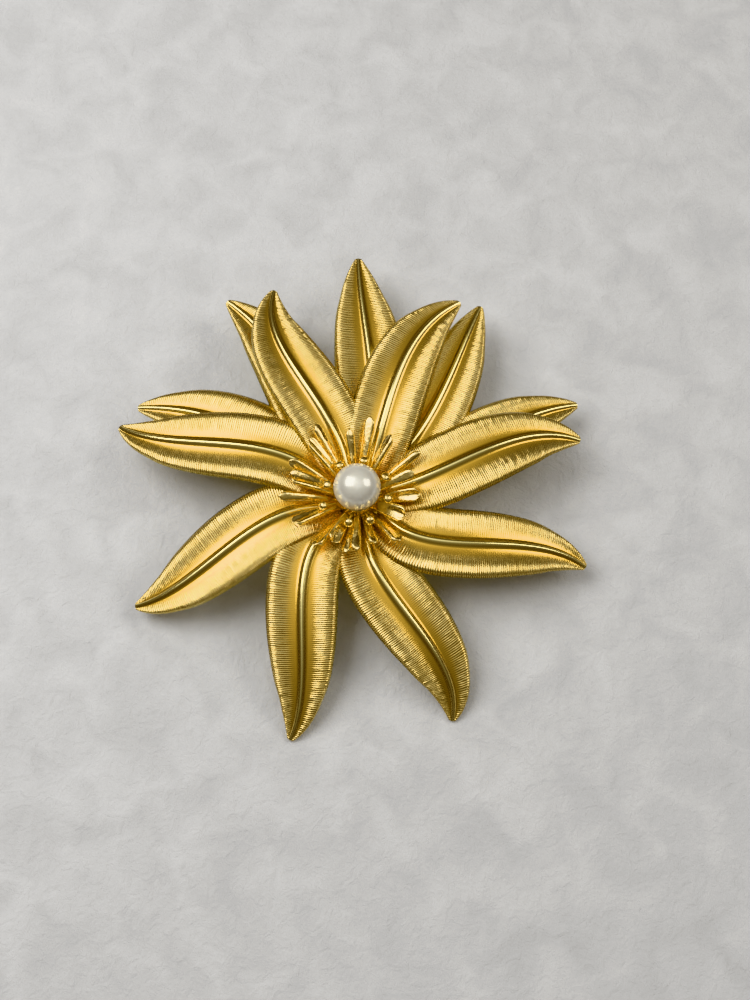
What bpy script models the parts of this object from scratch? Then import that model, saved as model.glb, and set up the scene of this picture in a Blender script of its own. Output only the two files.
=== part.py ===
"""Flower brooch: eight ribbed petals over a fan of five, a stamen centre with a pearl, and a hinged pin back.

The brooch lies face up. +Z is away from the wearer, -Y is the side that hangs down when it is worn.
All sizes are in metres. The origin is at the middle of the underside of the whole piece.
"""

import math

import bmesh
import bpy
from mathutils import Matrix, Vector
from mathutils.geometry import interpolate_bezier

MM = 0.001

# Where the flower's axis stands, so that the origin is under the middle of the whole outline
FLOWER_X = 0.8 * MM
FLOWER_Y = -3.4 * MM

# Room between two soldered pieces, and between a pin and its hole
SEAM = 0.05 * MM

# The stack on the flower's axis, from the back to the front
BAR_THICK = 0.8 * MM
BAR_BOTTOM = 3.9 * MM
WASHER_THICK = 0.35 * MM
LOWER_HUB_THICK = 0.7 * MM
UPPER_HUB_THICK = 0.55 * MM
PETAL_THICK = 0.8 * MM
HUB_SPACE = 1.35 * MM
COLLAR_THICK = 0.5 * MM
LOWER_HUB_BOTTOM = BAR_BOTTOM + BAR_THICK + SEAM
SPACER_BOTTOM = LOWER_HUB_BOTTOM + LOWER_HUB_THICK + SEAM
UPPER_HUB_BOTTOM = SPACER_BOTTOM + HUB_SPACE + SEAM
COLLAR_BOTTOM = UPPER_HUB_BOTTOM + UPPER_HUB_THICK + SEAM
COLLAR_STEP = COLLAR_THICK + SEAM
LOWER_HUB_RADIUS = 6.6 * MM
UPPER_HUB_RADIUS = 6.8 * MM
SPACER_RADIUS = 2.6 * MM
WASHER_RADIUS = 1.9 * MM

# The post that the stack and the pearl are fixed to
POST_RADIUS = 0.45 * MM
POST_HOLE = POST_RADIUS + SEAM
POST_HEAD_RADIUS = 1.1 * MM
POST_HEAD_THICK = 0.55 * MM
POST_IN_PEARL = 2.2 * MM

# The pearl and the cup under it
PEARL_RADIUS = 3.0 * MM
PEARL_Z = 12.75 * MM
CUP_WALL = 0.3 * MM
CUP_ANGLE = 48.0

# Petals: azimuth of the root, swing of the tip from it, reach, height of the tip, rise at the root,
# dip at the tip, and how far the rib turns from the radial line at the root and at the tip.
# Angles are in degrees and grow anticlockwise from +X. Sizes are in millimetres.
UPPER_PETALS = (
    (110, 1, 31.5, 8.5, 24, 12, -12, -34),
    (66, -2, 31.0, 8.5, 24, 12, 7, -32),
    (19, -2, 30.5, 6.5, 22, 22, -12, -27),
    (334, 12, 30.5, 3.0, 16, 28, -36, -17),
    (289, 5.5, 29.5, 0.2, 14, 32, -24, -35),
    (244, 10.3, 30.5, 0.2, 14, 32, -44, -12),
    (200, 4, 31.0, 2.0, 14, 28, -23, -18),
    (155, 6, 33.0, 5.5, 20, 22, -24, -15),
)
BACK_PETALS = (
    (153, 1, 32.5, 4.0, 3, 14, -20, 22),
    (123, -2, 34.5, 5.0, 4, 8, -8, 20),
    (89, 1, 36.0, 5.5, 5, 6, -20, 2),
    (56, 4, 33.5, 5.0, 4, 8, -16, 6),
    (24, 3, 33.0, 4.0, 3, 14, -3, -15),
)
PETAL_ROOT = 3.6 * MM
PETAL_HANDLE = 0.36
PETAL_HALF_WIDTH = 4.4 * MM
PETAL_NECK = 0.8
PETAL_WIDEST = 0.52
PETAL_TIP = 0.25 * MM
PETAL_TIP_THIN = 0.55
PETAL_GAP = 0.3 * MM
PETAL_RELIEF = 1.0 * MM
PETAL_STATIONS = 13

# A petal's cross-section: place across the half-width, and height over the mid surface as a share of the relief
PETAL_SECTION = (
    (-1.0, -0.25),
    (-0.62, 0.30),
    (-0.2, -0.15),
    (-0.08, 0.2),
    (0.08, 0.2),
    (0.2, -0.15),
    (0.62, 0.30),
    (1.0, -0.25),
)

# Stamens: azimuth in degrees, reach of the tip and height of the tip in millimetres
OUTER_STAMENS = (
    (357, 7.7, 11.4),
    (33, 9.3, 11.9),
    (80, 9.7, 12.2),
    (122, 10.0, 12.2),
    (156, 9.2, 12.0),
    (185, 9.7, 11.7),
    (235, 8.9, 11.6),
    (261, 8.3, 11.4),
    (287, 7.3, 11.4),
    (308, 8.5, 11.6),
)
MIDDLE_STAMENS = (
    (17, 7.3, 12.3),
    (58, 8.0, 12.8),
    (98, 7.6, 12.9),
    (134, 8.6, 12.9),
    (169, 8.4, 12.6),
    (210, 9.0, 12.3),
    (247, 7.5, 12.2),
    (269, 8.0, 12.1),
    (329, 6.8, 12.1),
)
INNER_STAMENS = (
    (26, 4.2, 12.2),
    (78, 4.3, 12.2),
    (124, 4.2, 12.2),
    (170, 4.0, 12.2),
    (208, 5.2, 12.4),
    (257, 4.9, 12.4),
    (292, 4.7, 12.1),
    (343, 4.3, 12.3),
)
STAMEN_ARCH = 0.05

# The stamen rings from the back: collar radius, half-thickness of a stamen and of its tip, and the
# radius and rise of the bend near its root, in millimetres
STAMEN_RINGS = (
    ("outer_stamens", OUTER_STAMENS, 2.5, 0.34, 0.36, 3.05, 1.08),
    ("middle_stamens", MIDDLE_STAMENS, 2.1, 0.30, 0.34, 3.05, 1.5),
    ("inner_stamens", INNER_STAMENS, 1.8, 0.26, 0.50, 3.3, 2.35),
)

# The pin back: its line across the brooch, and the ends of the pin along it
PIN_Y = 7.0 * MM
BAR_LENGTH = 30.0 * MM
BAR_WIDTH = 3.4 * MM
HINGE_X = -12.5 * MM
CATCH_X = 12.3 * MM
STEM_END_X = 15.4 * MM
STEM_RADIUS = 0.35 * MM
STEM_POINT = 2.6 * MM
EYE_RADIUS = 1.05 * MM
EYE_THICK = 1.0 * MM

# The catch, turned round the pin's line: a channel with a mouth, and a roller that closes the mouth
CATCH_OUTER = 1.75 * MM
CATCH_BORE = 1.3 * MM
CATCH_LIP = 0.95 * MM
CATCH_LENGTH = 2.6 * MM
CATCH_FLANGE = 0.4 * MM
ROLLER_BORE = 0.9 * MM
LEVER_RADIUS = 2.4 * MM
LIP_ANGLE = 32.0
MOUTH_START = 160.0
MOUTH_END = 270.0 + LIP_ANGLE
LEVER_ANGLE = 20.0
LEVER_ROOM = 3.0
PIN_Z = CATCH_OUTER * math.cos(math.radians(LIP_ANGLE))

# The bracket that holds the pin's rivet
BRACKET_TOP = BAR_BOTTOM - SEAM
BRACKET_FOOT = 0.5 * MM
BRACKET_LENGTH = 3.2 * MM
BRACKET_WIDTH = 2.9 * MM
CHEEK_THICK = 0.45 * MM
RIVET_RADIUS = 0.38 * MM
RIVET_HEAD_RADIUS = 0.75 * MM
RIVET_HEAD_THICK = 0.3 * MM


def clear_scene():
    for obj in list(bpy.data.objects):
        bpy.data.objects.remove(obj, do_unlink=True)


def make_material(name, red, green, blue, metallic, roughness):
    material = bpy.data.materials.new(name)
    material.use_nodes = True
    shader = material.node_tree.nodes["Principled BSDF"]
    shader.inputs["Base Color"].default_value = (red, green, blue, 1.0)
    shader.inputs["Metallic"].default_value = metallic
    shader.inputs["Roughness"].default_value = roughness
    return material


def add_object(name, bm, material, parent, location=(0, 0, 0)):
    """Close the seams of a bmesh, turn its faces outwards and put it in the scene as one object."""
    bmesh.ops.remove_doubles(bm, verts=bm.verts, dist=0.001 * MM)
    bmesh.ops.recalc_face_normals(bm, faces=bm.faces)
    mesh = bpy.data.meshes.new(name)
    bm.to_mesh(mesh)
    bm.free()
    mesh.materials.append(material)
    mesh.shade_smooth()
    mesh.set_sharp_from_angle(angle=math.radians(40))
    obj = bpy.data.objects.new(name, mesh)
    obj.location = location
    obj.parent = parent
    bpy.context.scene.collection.objects.link(obj)
    return obj


def add_boolean(obj, cutter, operation):
    modifier = obj.modifiers.new(cutter.name, "BOOLEAN")
    modifier.operation = operation
    modifier.object = cutter
    cutter.hide_render = True
    cutter.display_type = "WIRE"


def turned(profile, segments, start=0.0, sweep=360.0, closed=True):
    """A bmesh turned round Z. The profile is (radius, height) points. A part turn gets flat ends."""
    bm = bmesh.new()
    verts = [bm.verts.new((radius, 0.0, height)) for radius, height in profile]
    pairs = list(zip(verts, verts[1:]))
    if closed:
        pairs.append((verts[-1], verts[0]))
    edges = [bm.edges.new(pair) for pair in pairs]
    bmesh.ops.rotate(bm, verts=bm.verts, matrix=Matrix.Rotation(math.radians(start), 3, "Z"))
    part_turn = sweep < 360.0
    if part_turn:
        bm.faces.new(verts)
    result = bmesh.ops.spin(
        bm,
        geom=verts + edges,
        cent=(0, 0, 0),
        axis=(0, 0, 1),
        angle=math.radians(sweep),
        steps=segments,
        use_merge=False,
    )
    if part_turn:
        last_edges = [item for item in result["geom_last"] if isinstance(item, bmesh.types.BMEdge)]
        bmesh.ops.contextual_create(bm, geom=last_edges)
    return bm


def extruded(outline, depth):
    """A bmesh prism: (x, y) outline points, raised from 0 to depth along Z."""
    bm = bmesh.new()
    face = bm.faces.new([bm.verts.new((x, y, 0.0)) for x, y in outline])
    top = bmesh.ops.extrude_face_region(bm, geom=[face])
    raised = [item for item in top["geom"] if isinstance(item, bmesh.types.BMVert)]
    bmesh.ops.translate(bm, verts=raised, vec=(0, 0, depth))
    return bm


def arc(radius, start, end, steps, centre=(0.0, 0.0)):
    """Points on an arc, from one angle to another in degrees."""
    points = []
    for k in range(steps + 1):
        angle = math.radians(start + (end - start) * k / steps)
        points.append((centre[0] + radius * math.cos(angle), centre[1] + radius * math.sin(angle)))
    return points


def ring_profile(inner, outer, bottom, top, bevel=0.12 * MM):
    """A washer's section, with its outer edges eased."""
    return [
        (inner, bottom),
        (outer - bevel, bottom),
        (outer, bottom + bevel),
        (outer, top - bevel),
        (outer - bevel, top),
        (inner, top),
    ]


def direction(azimuth, elevation):
    a = math.radians(azimuth)
    e = math.radians(elevation)
    return Vector((math.cos(a) * math.cos(e), math.sin(a) * math.cos(e), math.sin(e)))


def petal_spine(petal, root_z):
    """The line of a petal's rib, as a Bezier read at even steps."""
    azimuth, swing, reach, tip_z, rise, dip, leave, arrive = petal
    tip_azimuth = azimuth + swing
    root = direction(azimuth, 0) * PETAL_ROOT + Vector((0, 0, root_z))
    tip = direction(tip_azimuth, 0) * reach * MM + Vector((0, 0, tip_z * MM))
    handle = (tip - root).length * PETAL_HANDLE
    knob_root = root + direction(azimuth + leave, rise) * handle
    knob_tip = tip - direction(tip_azimuth + arrive, -dip) * handle
    return interpolate_bezier(root, knob_root, knob_tip, tip, PETAL_STATIONS)


def azimuth_at(spine, radius):
    """The azimuth, in radians, where a spine passes a radius."""
    for near, far in zip(spine, spine[1:]):
        if far.xy.length >= radius:
            break
    share = (radius - near.xy.length) / (far.xy.length - near.xy.length)
    point = near.lerp(far, min(max(share, 0.0), 1.0))
    return math.atan2(point.y, point.x)


def room_beside(spine, neighbour, point):
    """Half the way from a point on a spine to the neighbour's spine, round the flower's axis."""
    if neighbour is None:
        return PETAL_HALF_WIDTH
    radius = point.xy.length
    between = azimuth_at(neighbour, radius) - azimuth_at(spine, radius)
    between = abs((between + math.pi) % math.tau - math.pi)
    return radius * math.sin(min(between / 2, math.pi / 2)) - PETAL_GAP / 2


def petal_half_width(share):
    """Lanceolate outline: half the width at a share of the petal's length."""
    if share < PETAL_WIDEST:
        swell = math.sin(math.pi / 2 * share / PETAL_WIDEST) ** 2
        return PETAL_HALF_WIDTH * (PETAL_NECK + (1 - PETAL_NECK) * swell)
    fall = (share - PETAL_WIDEST) / (1 - PETAL_WIDEST)
    return max(PETAL_HALF_WIDTH * math.cos(math.pi / 2 * fall) ** 1.1, PETAL_TIP)


def petal_mesh(spine, right_spine, left_spine):
    """A closed petal: the section carried along the spine, on the front and on the back."""
    bm = bmesh.new()
    last = len(spine) - 1
    front = []
    back = []
    for k, point in enumerate(spine):
        share = k / last
        tangent = (spine[min(k + 1, last)] - spine[max(k - 1, 0)]).normalized()
        side = Vector((0, 0, 1)).cross(tangent).normalized()
        normal = tangent.cross(side)
        half = petal_half_width(share)
        left = min(half, room_beside(spine, left_spine, point))
        right = min(half, room_beside(spine, right_spine, point))
        relief = PETAL_RELIEF * min(half, left, right) / PETAL_HALF_WIDTH
        thick = PETAL_THICK * (1 - (1 - PETAL_TIP_THIN) * share**3)
        front_row = []
        back_row = []
        for across, height in PETAL_SECTION:
            width = left if across > 0 else right
            middle = point + side * width * across + normal * height * relief
            front_row.append(bm.verts.new(middle + normal * thick / 2))
            back_row.append(bm.verts.new(middle - normal * thick / 2))
        front.append(front_row)
        back.append(back_row)
    columns = len(PETAL_SECTION) - 1
    for k in range(last):
        for c in range(columns):
            bm.faces.new((front[k][c], front[k + 1][c], front[k + 1][c + 1], front[k][c + 1]))
            bm.faces.new((back[k][c], back[k][c + 1], back[k + 1][c + 1], back[k + 1][c]))
        for c in (0, columns):
            bm.faces.new((front[k][c], front[k + 1][c], back[k + 1][c], back[k][c]))
    for k in (0, last):
        for c in range(columns):
            bm.faces.new((front[k][c], front[k][c + 1], back[k][c + 1], back[k][c]))
    return bm


def add_petals(label, petals, root_z, whole_turn, material, parent):
    """One object for each petal of a tier. In a whole turn the first and last petals are neighbours."""
    spines = [petal_spine(petal, root_z) for petal in petals]
    count = len(spines)
    for k, spine in enumerate(spines):
        # The petals are listed clockwise, so the one before lies on the left of this one.
        left = spines[k - 1] if whole_turn or k > 0 else None
        right = spines[(k + 1) % count] if whole_turn or k < count - 1 else None
        add_object(f"{label}_{k + 1}", petal_mesh(spine, right, left), material, parent)


def stamen_ring(stamens, bottom, collar_radius, half, tip_half, bend_radius, bend_rise):
    """A collar round the post, with one stamen drawn out of each of its side faces.

    Each stamen rises steeply to a bend near its root, and then runs to its tip in a low arch.
    """
    bm = bmesh.new()
    stamens = sorted(stamens)
    count = len(stamens)
    levels = (bottom, bottom + COLLAR_THICK)
    corners = []
    for k, (azimuth, _, _) in enumerate(stamens):
        before = stamens[k - 1][0] - (360 if k == 0 else 0)
        angle = math.radians((before + azimuth) / 2)
        spot = Vector((math.cos(angle), math.sin(angle), 0))
        outer = [bm.verts.new(spot * collar_radius + Vector((0, 0, z))) for z in levels]
        inner = [bm.verts.new(spot * POST_HOLE + Vector((0, 0, z))) for z in levels]
        corners.append((outer, inner))
    for k in range(count):
        (outer, inner), (next_outer, next_inner) = corners[k], corners[(k + 1) % count]
        bm.faces.new((outer[1], next_outer[1], next_inner[1], inner[1]))
        bm.faces.new((inner[0], next_inner[0], next_outer[0], outer[0]))
        bm.faces.new((inner[1], next_inner[1], next_inner[0], inner[0]))
        azimuth, reach, tip_z = stamens[k]
        loop = [outer[0], next_outer[0], next_outer[1], outer[1]]
        root_z = bottom + COLLAR_THICK / 2
        tip = Vector((reach * MM, tip_z * MM))
        bend = Vector((bend_radius, root_z + bend_rise))
        crown = bend.lerp(tip, 0.5) + Vector((0, (tip - bend).length * STAMEN_ARCH))
        stations = ((bend, half), (crown, half), (tip, tip_half))
        along = Matrix.Rotation(math.radians(azimuth), 3, "Z")
        for n, (place, thick) in enumerate(stations):
            ahead = stations[min(n + 1, 2)][0] - stations[max(n - 1, 0)][0]
            ahead = ahead.normalized()
            across = Vector((0, 1, 0)) * thick
            upward = Vector((-ahead.y, 0, ahead.x)) * thick
            centre = Vector((place.x, 0, place.y))
            spots = (centre - across - upward, centre + across - upward, centre + across + upward, centre - across + upward)
            ring = [bm.verts.new(along @ spot) for spot in spots]
            for a in range(4):
                b = (a + 1) % 4
                bm.faces.new((loop[a], loop[b], ring[b], ring[a]))
            loop = ring
        bm.faces.new(loop)
    return bm


def build_centre(gold, pearl_white, parent):
    """The turned pieces on the flower's axis and the three stamen rings."""
    hub = ring_profile(POST_HOLE, LOWER_HUB_RADIUS, LOWER_HUB_BOTTOM, LOWER_HUB_BOTTOM + LOWER_HUB_THICK)
    add_object("lower_hub", turned(hub, 32), gold, parent)
    spacer = ring_profile(POST_HOLE, SPACER_RADIUS, SPACER_BOTTOM, SPACER_BOTTOM + HUB_SPACE)
    add_object("spacer", turned(spacer, 20), gold, parent)
    hub = ring_profile(POST_HOLE, UPPER_HUB_RADIUS, UPPER_HUB_BOTTOM, UPPER_HUB_BOTTOM + UPPER_HUB_THICK)
    add_object("upper_hub", turned(hub, 32), gold, parent)
    washer_top = LOWER_HUB_BOTTOM - SEAM
    washer_bottom = washer_top - WASHER_THICK
    washer = ring_profile(POST_HOLE, WASHER_RADIUS, washer_bottom, washer_top, 0.06 * MM)
    add_object("back_washer", turned(washer, 20), gold, parent)

    for k, (name, stamens, *sizes) in enumerate(STAMEN_RINGS):
        ring = stamen_ring(stamens, COLLAR_BOTTOM + k * COLLAR_STEP, *[size * MM for size in sizes])
        add_object(name, ring, gold, parent)

    cup_inner = PEARL_RADIUS + SEAM
    cup_outer = cup_inner + CUP_WALL
    cup_flat = PEARL_Z - cup_outer
    lowest = math.degrees(math.asin(POST_HOLE / cup_inner)) - 90
    cup = [(POST_HOLE, cup_flat), (CUP_WALL * 4, cup_flat)]
    cup += arc(cup_outer, -60, CUP_ANGLE - 90, 4, (0.0, PEARL_Z))
    cup += arc(cup_inner, CUP_ANGLE - 90, lowest, 7, (0.0, PEARL_Z))
    add_object("pearl_cup", turned(cup, 20), gold, parent)

    hole_top = PEARL_Z - PEARL_RADIUS + POST_IN_PEARL + SEAM
    mouth = math.degrees(math.asin(POST_HOLE / PEARL_RADIUS)) - 90
    pearl = arc(PEARL_RADIUS, 90, mouth, 12, (0.0, PEARL_Z))
    pearl += [(POST_HOLE, hole_top), (0.0, hole_top)]
    add_object("pearl", turned(pearl, 24, closed=False), pearl_white, parent)

    head_top = washer_bottom - SEAM
    head_bottom = head_top - POST_HEAD_THICK
    post = [
        (0.0, head_bottom),
        (POST_HEAD_RADIUS * 0.6, head_bottom),
        (POST_HEAD_RADIUS, head_bottom + POST_HEAD_THICK * 0.5),
        (POST_HEAD_RADIUS, head_top),
        (POST_RADIUS, head_top),
        (POST_RADIUS, hole_top - SEAM),
        (0.0, hole_top - SEAM),
    ]
    add_object("centre_post", turned(post, 12, closed=False), gold, parent)


def bar_outline():
    """A long plate with round ends."""
    half = BAR_WIDTH / 2
    straight = BAR_LENGTH / 2 - half
    return arc(half, -90, 90, 8, (straight, 0.0)) + arc(half, 90, 270, 8, (-straight, 0.0))


def cheek_outline():
    """The hinge bracket's side: a plate that narrows to a flat foot."""
    half = BRACKET_LENGTH / 2
    top = BRACKET_TOP
    return [(-half, top), (-half, PIN_Z), (-half * 0.5, 0.0), (half * 0.5, 0.0), (half, PIN_Z), (half, top)]


def build_pin_back(gold, parent):
    """The bar, the hinge bracket with its rivet, the pin, and the catch with its roller."""
    bar = extruded(bar_outline(), BAR_THICK)
    add_object("pin_bar", bar, gold, parent, (0, PIN_Y, BAR_BOTTOM))

    # The bracket is a block with the same outline on both sides, hollowed for the pin's eye.
    bracket = extruded(cheek_outline(), BRACKET_WIDTH)
    bmesh.ops.rotate(bracket, verts=bracket.verts, matrix=Matrix.Rotation(math.radians(90), 3, "X"))
    bmesh.ops.translate(bracket, verts=bracket.verts, vec=(0, BRACKET_WIDTH / 2, 0))
    bracket = add_object("hinge_bracket", bracket, gold, parent, (HINGE_X, PIN_Y, 0))
    slot_width = BRACKET_WIDTH - 2 * CHEEK_THICK
    slot_height = BRACKET_TOP - BRACKET_FOOT
    slot = bmesh.new()
    bmesh.ops.create_cube(slot, size=1.0)
    bmesh.ops.scale(slot, verts=slot.verts, vec=(BRACKET_LENGTH * 2, slot_width, slot_height * 2))
    slot = add_object("slot_cutter", slot, gold, parent, (HINGE_X, PIN_Y, 0))
    add_boolean(bracket, slot, "DIFFERENCE")
    bore = turned(ring_profile(0.0, RIVET_RADIUS + SEAM, -BRACKET_WIDTH, BRACKET_WIDTH, 0.0)[0:6], 16, closed=False)
    bmesh.ops.rotate(bore, verts=bore.verts, matrix=Matrix.Rotation(math.radians(90), 3, "X"))
    bore = add_object("bore_cutter", bore, gold, parent, (HINGE_X, PIN_Y, PIN_Z))
    add_boolean(bracket, bore, "DIFFERENCE")

    reach = BRACKET_WIDTH / 2 + SEAM
    end = reach + RIVET_HEAD_THICK
    rivet = [
        (0.0, -end),
        (RIVET_HEAD_RADIUS * 0.6, -end),
        (RIVET_HEAD_RADIUS, -reach - RIVET_HEAD_THICK * 0.4),
        (RIVET_HEAD_RADIUS, -reach),
        (RIVET_RADIUS, -reach),
        (RIVET_RADIUS, reach),
        (RIVET_HEAD_RADIUS, reach),
        (RIVET_HEAD_RADIUS, reach + RIVET_HEAD_THICK * 0.4),
        (RIVET_HEAD_RADIUS * 0.6, end),
        (0.0, end),
    ]
    rivet = turned(rivet, 16, closed=False)
    bmesh.ops.rotate(rivet, verts=rivet.verts, matrix=Matrix.Rotation(math.radians(90), 3, "X"))
    add_object("hinge_rivet", rivet, gold, parent, (HINGE_X, PIN_Y, PIN_Z))

    # The pin: a flat eye round the rivet, and a wire that tapers to a point.
    eye = turned(ring_profile(RIVET_RADIUS + SEAM, EYE_RADIUS, -EYE_THICK / 2, EYE_THICK / 2), 20)
    bmesh.ops.rotate(eye, verts=eye.verts, matrix=Matrix.Rotation(math.radians(90), 3, "X"))
    stem = add_object("pin_stem", eye, gold, parent, (HINGE_X, PIN_Y, PIN_Z))
    wire_start = (RIVET_RADIUS + EYE_RADIUS) / 2
    wire_end = STEM_END_X - HINGE_X
    wire = [
        (0.0, wire_start),
        (STEM_RADIUS, wire_start),
        (STEM_RADIUS, wire_end - STEM_POINT),
        (STEM_RADIUS * 0.3, wire_end - STEM_POINT * 0.1),
        (0.0, wire_end),
    ]
    wire = turned(wire, 10, closed=False)
    bmesh.ops.rotate(wire, verts=wire.verts, matrix=Matrix.Rotation(math.radians(90), 3, "Y"))
    wire = add_object("wire_cutter", wire, gold, parent, (HINGE_X, PIN_Y, PIN_Z))
    add_boolean(stem, wire, "UNION")

    build_catch(gold, parent)


def build_catch(gold, parent):
    """The catch is turned round X. Angles run from +Y through +Z, and its mouth faces down and forwards."""
    to_x = Matrix(((0, 0, 1), (1, 0, 0), (0, 1, 0)))
    half = CATCH_LENGTH / 2
    inside = half - CATCH_FLANGE
    channel = [
        (CATCH_LIP, -half),
        (CATCH_OUTER, -half),
        (CATCH_OUTER, half),
        (CATCH_LIP, half),
        (CATCH_LIP, inside),
        (CATCH_BORE, inside),
        (CATCH_BORE, -inside),
        (CATCH_LIP, -inside),
    ]
    wall = MOUTH_START - (MOUTH_END - 360)
    body = turned(channel, 18, MOUTH_END - 360, wall)
    bmesh.ops.transform(body, verts=body.verts, matrix=to_x.to_4x4())
    body = add_object("catch_body", body, gold, parent, (CATCH_X, PIN_Y, PIN_Z))
    foot_bottom = (CATCH_BORE + CATCH_OUTER) / 2 - 0.1 * MM
    foot_top = BRACKET_TOP - PIN_Z
    foot = bmesh.new()
    bmesh.ops.create_cube(foot, size=1.0)
    bmesh.ops.scale(foot, verts=foot.verts, vec=(CATCH_LENGTH, CATCH_OUTER, foot_top - foot_bottom))
    foot_z = PIN_Z + (foot_top + foot_bottom) / 2
    foot = add_object("foot_block", foot, gold, parent, (CATCH_X, PIN_Y, foot_z))
    add_boolean(body, foot, "UNION")

    roller_half = inside - SEAM
    outer = CATCH_BORE - SEAM
    sleeve = [(ROLLER_BORE, -roller_half), (outer, -roller_half), (outer, roller_half), (ROLLER_BORE, roller_half)]
    lever = [(x if x < outer else LEVER_RADIUS, z * 0.6) for x, z in sleeve]
    lever_start = MOUTH_START + LEVER_ROOM
    roller = turned(sleeve, 18, MOUTH_END - 360, lever_start + 2 - (MOUTH_END - 360))
    bmesh.ops.transform(roller, verts=roller.verts, matrix=to_x.to_4x4())
    roller = add_object("catch_roller", roller, gold, parent, (CATCH_X, PIN_Y, PIN_Z))
    lever = turned(lever, 3, lever_start, LEVER_ANGLE)
    bmesh.ops.transform(lever, verts=lever.verts, matrix=to_x.to_4x4())
    lever = add_object("lever_block", lever, gold, parent, (CATCH_X, PIN_Y, PIN_Z))
    add_boolean(roller, lever, "UNION")


def main():
    clear_scene()
    gold = make_material("gold_plated_brass", 0.78, 0.50, 0.17, 1.0, 0.28)
    pearl_white = make_material("cream_pearl", 0.84, 0.79, 0.69, 0.0, 0.22)
    flower = bpy.data.objects.new("flower_axis", None)
    flower.location = (FLOWER_X, FLOWER_Y, 0)
    bpy.context.scene.collection.objects.link(flower)
    upper_root = COLLAR_BOTTOM + PETAL_THICK / 2
    back_root = SPACER_BOTTOM + PETAL_THICK / 2
    add_petals("upper_petal", UPPER_PETALS, upper_root, True, gold, flower)
    add_petals("back_petal", BACK_PETALS, back_root, False, gold, flower)
    build_centre(gold, pearl_white, flower)
    build_pin_back(gold, flower)


main()
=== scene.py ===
import math
from functools import partial

import bmesh
import bpy
from mathutils import Matrix, Vector


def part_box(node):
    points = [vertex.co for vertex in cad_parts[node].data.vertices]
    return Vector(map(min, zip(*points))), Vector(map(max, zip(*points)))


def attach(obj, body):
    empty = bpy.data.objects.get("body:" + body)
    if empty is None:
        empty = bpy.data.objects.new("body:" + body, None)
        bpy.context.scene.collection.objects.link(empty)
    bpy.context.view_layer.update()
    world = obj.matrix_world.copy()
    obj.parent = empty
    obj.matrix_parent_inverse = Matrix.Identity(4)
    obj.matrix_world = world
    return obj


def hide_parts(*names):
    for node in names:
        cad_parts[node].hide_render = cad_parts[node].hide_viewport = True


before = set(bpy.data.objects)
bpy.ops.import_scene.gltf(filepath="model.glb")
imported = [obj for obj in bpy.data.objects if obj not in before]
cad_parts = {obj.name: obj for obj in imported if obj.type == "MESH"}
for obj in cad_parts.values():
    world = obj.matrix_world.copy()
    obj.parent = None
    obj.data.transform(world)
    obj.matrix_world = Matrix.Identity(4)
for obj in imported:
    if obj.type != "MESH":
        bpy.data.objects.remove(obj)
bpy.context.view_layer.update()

mm = 0.001
print("frame loaded:", len(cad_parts), "nodes")


def middle(node):
    low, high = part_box(node)
    return (Vector(low) + Vector(high)) / 2


# the flower's axis and the pearl's size, read from the pearl
pearlCentre = middle("pearl")
flowerAxis = Vector((pearlCentre.x, pearlCentre.y, 0.0))
pearlRadius = (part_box("pearl")[1][0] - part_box("pearl")[0][0]) / 2


def linear(hexColour):
    channels = [int(hexColour[i:i + 2], 16) / 255 for i in (1, 3, 5)]
    return tuple(c / 12.92 if c <= 0.04045 else ((c + 0.055) / 1.055) ** 2.4 for c in channels) + (1.0,)


def fill(tree, node, inputs):
    # an input takes a plain value, another node's output, or a node, which stands for its first live output
    for key, value in inputs.items():
        if isinstance(value, bpy.types.Node):
            value = next(socket for socket in value.outputs if socket.enabled)
        if isinstance(value, bpy.types.NodeSocket):
            tree.links.new(value, node.inputs[key])
        else:
            node.inputs[key].default_value = value


def addNode(tree, kind, *values, inputs=None, **settings):
    # values fill the inputs in order, and inputs fill them by name
    node = tree.nodes.new(kind)
    for name, value in settings.items():
        setattr(node, name, value)
    fill(tree, node, {**dict(enumerate(values)), **(inputs or {})})
    return node


def setRamp(node, stops):
    # a colour ramp's stops, each a position and a hex colour
    elements = node.color_ramp.elements
    for position, _ in stops[1:-1]:
        elements.new(position)
    for element, (position, tone) in zip(elements, stops):
        element.position = position
        element.color = linear(tone)


def setCurve(node, points):
    curve = node.mapping.curves[0]
    while len(curve.points) > 2:
        curve.points.remove(curve.points[1])
    curve.points[0].location = points[0]
    curve.points[1].location = points[-1]
    for point in points[1:-1]:
        curve.points.new(*point)
    node.mapping.update()


def rectangle(halfX, halfY):
    return (-halfX, -halfY), (halfX, -halfY), (halfX, halfY), (-halfX, halfY)


# camera: above and in front, the flower's face nearly square to it, held a little askew
cameraSetup = {
    "elevation": 70.0, "distance": 180 * mm, "lens": 51.84, "sensor": 36, "nearest": 5 * mm,
    "aimRight": 2.25 * mm, "aimDown": 1.6 * mm, "roll": 2.3,
}


def makeCamera(setup):
    angle = math.radians(setup["elevation"])
    away = Vector((0, -math.cos(angle), math.sin(angle)))
    up = Vector((0, math.sin(angle), math.cos(angle)))
    data = bpy.data.cameras.new("camera")
    data.lens = setup["lens"]
    data.sensor_width = setup["sensor"]
    data.clip_start = setup["nearest"]
    camera = bpy.data.objects.new("camera", data)
    camera.location = pearlCentre + away * setup["distance"]
    aim = pearlCentre + Vector((setup["aimRight"], 0, 0)) - up * setup["aimDown"]
    facing = (aim - camera.location).to_track_quat("-Z", "Y").to_matrix()
    camera.rotation_euler = (facing @ Matrix.Rotation(math.radians(setup["roll"]), 3, "Z")).to_euler()
    bpy.context.scene.collection.objects.link(camera)
    bpy.context.scene.camera = camera


makeCamera(cameraSetup)

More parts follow.
